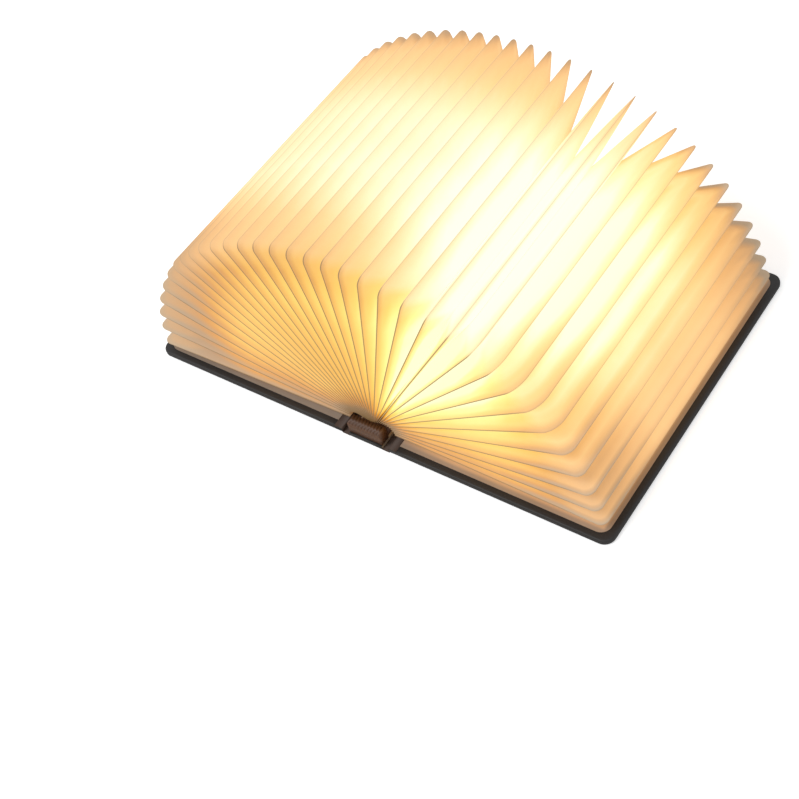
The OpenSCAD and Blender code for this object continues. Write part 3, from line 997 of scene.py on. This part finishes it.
def lozenge_border(foil):
    """A row of lozenges, big and small by turns, between two frames."""
    left, right, top = frame_at(lozenge_inset)
    for k in range(lozenges_across + 1):
        for y in (-top, top):
            place = (mix(left, right, k / lozenges_across), y)
            foil.lozenge(place, small_lozenge if k % 2 else big_lozenge)
    for k in range(1, lozenges_along):
        for x in (left, right):
            place = (x, mix(-top, top, k / lozenges_along))
            foil.lozenge(place, small_lozenge if k % 2 else big_lozenge)


def inward_turn(sx, sy):
    """Direction in degrees from a corner, given by the signs of its x and y, to the middle."""
    return math.degrees(math.atan2(-sy, -sx))


def hollow_frame(foil, inset, width):
    """A rectangle of lines whose corners are quarter rounds towards the middle."""
    left, right, top = frame_at(inset)
    radius = rounded_radius
    for sx, x in ((-1, left), (1, right)):
        foil.stroke([(x, radius - top), (x, top - radius)], width)
        for sy in (-1, 1):
            inward = inward_turn(sx, sy)
            foil.arc((x, sy * top), radius, inward - 45, inward + 45, width)
    for y in (-top, top):
        foil.stroke([(left + radius, y), (right - radius, y)], width)


def corner_leaves(foil, corner, inward):
    """Two palmettes in a corner, one inside and one outside its quarter round, and four tendrils."""
    foil.palmette(along(corner, inward, 2.5), inward, 14, 62)
    foil.palmette(along(corner, inward, 22.5), inward, 17)
    for hand in (-1, 1):
        foil.tendril(along(corner, inward, 23), inward + hand * 62, 12, -hand, fine)
        foil.tendril(along(corner, inward + hand * 36, 22), inward + hand * 100, 8, hand, 0.8)


def edge_leaves(foil, root, turn, first):
    """A palmette at the middle of an edge and a tendril to each side of it, first on the side given."""
    foil.palmette(root, turn, 12)
    for hand in (first, -first):
        foil.tendril(along(root, turn + 90 * hand, 2), turn + 62 * hand, 11, -hand, fine)


def front_ornament(foil):
    """Borders with a row of lozenges, leaves in the corners and at the edges, and a medallion."""
    double_frame(foil)
    foil.frame(*middle_rule)
    lozenge_border(foil)
    for inset, width in rounded_rules:
        hollow_frame(foil, inset, width)
    left, right, top = frame_at(leaf_inset)
    middle = (left + right) / 2
    for sx, x in ((-1, left), (1, right)):
        for sy in (-1, 1):
            corner_leaves(foil, (x, sy * top), inward_turn(sx, sy))
        edge_leaves(foil, (x - sx * 5, 0), 90 + 90 * sx, sx)
    for sy in (-1, 1):
        edge_leaves(foil, (middle, sy * (top - 5)), -90 * sy, -sy)
    medallion(foil, (middle, 0))


def hollow_lozenge(foil, centre, tall, wide, width):
    """Four hollow sides of a lozenge, given by its half height and half width."""
    x, y = centre
    for sx in (-1, 1):
        for sy in (-1, 1):
            points = []
            for k in range(medallion_points + 1):
                turn = RIGHT_ANGLE * k / medallion_points
                bow = 1 - 0.16 * math.sin(2 * turn)
                points.append((x + sx * wide * math.cos(turn) ** 1.15 * bow,
                               y + sy * tall * math.sin(turn) ** 1.15 * bow))
            foil.stroke(points, width)


def medallion(foil, centre):
    """A tall lozenge about a flower of eight petals in rings, with palmettes in and outside its points."""
    x, y = centre
    hollow_lozenge(foil, centre, 46, 33, bold)
    hollow_lozenge(foil, centre, 42, 29.5, hair)
    for k in range(2 * petals):
        turn = 180 * k / petals
        if k % 2 == 0:
            foil.leaf(along(centre, turn, 3), turn, 9.5, 3.4)
        else:
            foil.leaf(along(centre, turn, 5.5), turn, 7, 1.5)
        foil.ring(along(centre, turn, 15.8), 0.55, fine)
    for radius, width in ((1.5, 1.6), (13.8, 0.7), (17.8, 1.1)):
        foil.ring(centre, radius, width)
    for sy in (-1, 1):
        foil.palmette((x, y + sy * 20), 90 * sy, 15, 60)
        foil.palmette((x, y + sy * 48.5), 90 * sy, 10)
    for sx in (-1, 1):
        foil.palmette((x + sx * 18.5, y), 90 - 90 * sx, 9, 50, 7)
        foil.palmette((x + sx * 35, y), 90 - 90 * sx, 8, 70, 7)


def make_ornament(cover, side, draw, gold):
    """The stamped ornament of one cover, a thin closed layer that stands just out of the cloth."""
    foil = Foil()
    draw(foil)
    foil.bm.normal_update()
    for face in foil.bm.faces:
        if face.normal.z > 0:
            face.normal_flip()
    piece = new_piece(f"{cover}_foil", to_side(foil.bm, side), gold)
    give_wall(piece, foil_thickness)
    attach(piece, f"{cover}_cover")


# ---- the lamp

dress_nodes()
for number in range(1, page_count + 1):
    make_pleat(number, finish_of["page_paper"])
make_spine_wrap(finish_of["edge_cloth"])
make_comb(finish_of["block_wood"])
hinge_cloth = cloth_finish("hinge_cloth", NEAR_BLACK, (0.05, 0.026, 0.016), 0.1 * MM, 0.4 * MM)
gold = foil_finish()
for cover, side, ornament in (("front", -1, front_ornament), ("back", 1, double_frame)):
    make_wrap(cover, side, finish_of["cover_cloth"])
    make_hinge(cover, side, hinge_cloth)
    make_root_strip(cover, side, hinge_cloth)
    make_ornament(cover, side, ornament, gold)

# ---- camera, light and floor

view_from_turn = math.radians(47.72)
view_from_rise = math.radians(49.6)
view_roll = math.radians(-17.41)
view_target = Vector((0, -71.5, 0)) * MM
view_distance = 887.6 * MM
lens_px = 1465.9
frame_px = 799
sensor_mm = 36


def make_camera():
    turn, rise = view_from_turn, view_from_rise
    back = Vector((math.sin(turn) * math.cos(rise), -math.cos(turn) * math.cos(rise), math.sin(rise)))
    level = Vector((math.cos(turn), math.sin(turn), 0))
    up = back.cross(level)
    right = level * math.cos(view_roll) + up * math.sin(view_roll)
    up = back.cross(right)
    camera = bpy.data.objects.new("camera", bpy.data.cameras.new("camera"))
    camera.data.sensor_width = sensor_mm
    camera.data.lens = lens_px / frame_px * sensor_mm
    camera.data.clip_start = 10 * MM
    axes = Matrix((right, up, back)).transposed().to_4x4()
    camera.matrix_world = Matrix.Translation(view_target + back * view_distance) @ axes
    bpy.context.scene.collection.objects.link(camera)
    bpy.context.scene.camera = camera


def make_world():
    """Even sky light, white where it is seen."""
    world = bpy.data.worlds.new("studio")
    world.use_nodes = True
    bpy.context.scene.world = world
    tree = world.node_tree
    background = tree.nodes["Background"]
    background.inputs["Color"].default_value = (1, 1, 1, 1)
    rays = tree.nodes.new("ShaderNodeLightPath")
    seen = tree.nodes.new("ShaderNodeMath")
    seen.operation = "MAXIMUM"
    tree.links.new(rays.outputs["Is Camera Ray"], seen.inputs[0])
    tree.links.new(rays.outputs["Is Glossy Ray"], seen.inputs[1])
    strength = tree.nodes.new("ShaderNodeMapRange")
    strength.inputs["To Min"].default_value = 0.65
    strength.inputs["To Max"].default_value = 1.0
    tree.links.new(seen.outputs[0], strength.inputs["Value"])
    tree.links.new(strength.outputs[0], background.inputs["Strength"])


def make_sun():
    sun = bpy.data.objects.new("key_light", bpy.data.lights.new("key_light", "SUN"))
    sun.data.energy = 1.3
    sun.data.angle = math.radians(25)
    sun.rotation_euler = (math.radians(38), 0, math.radians(-30))
    bpy.context.scene.collection.objects.link(sun)


def make_floor():
    """Plain white floor, a little self-lit towards the camera so that only the shadow shows."""
    bm = bmesh.new()
    bmesh.ops.create_grid(bm, x_segments=1, y_segments=1, size=4)
    bmesh.ops.translate(bm, verts=bm.verts, vec=(0, 0, -0.2 * MM))
    mesh = bpy.data.meshes.new("floor")
    bm.to_mesh(mesh)
    bm.free()
    floor = bpy.data.objects.new("floor", mesh)
    bpy.context.scene.collection.objects.link(floor)
    finish = Finish("floor", Roughness=0.9, Specular_IOR_Level=0.0, Emission_Strength=1.0)
    finish.surface.inputs["Base Color"].default_value = (0.86, 0.86, 0.86, 1)
    seen = finish.node("LightPath", out="Is Camera Ray")
    finish.feed("Emission Color", finish.mix(seen, (0, 0, 0), (0.45, 0.45, 0.45)))
    mesh.materials.append(finish.material)


make_camera()
make_world()
make_sun()
make_floor()
bpy.context.scene.view_settings.view_transform = "Standard"
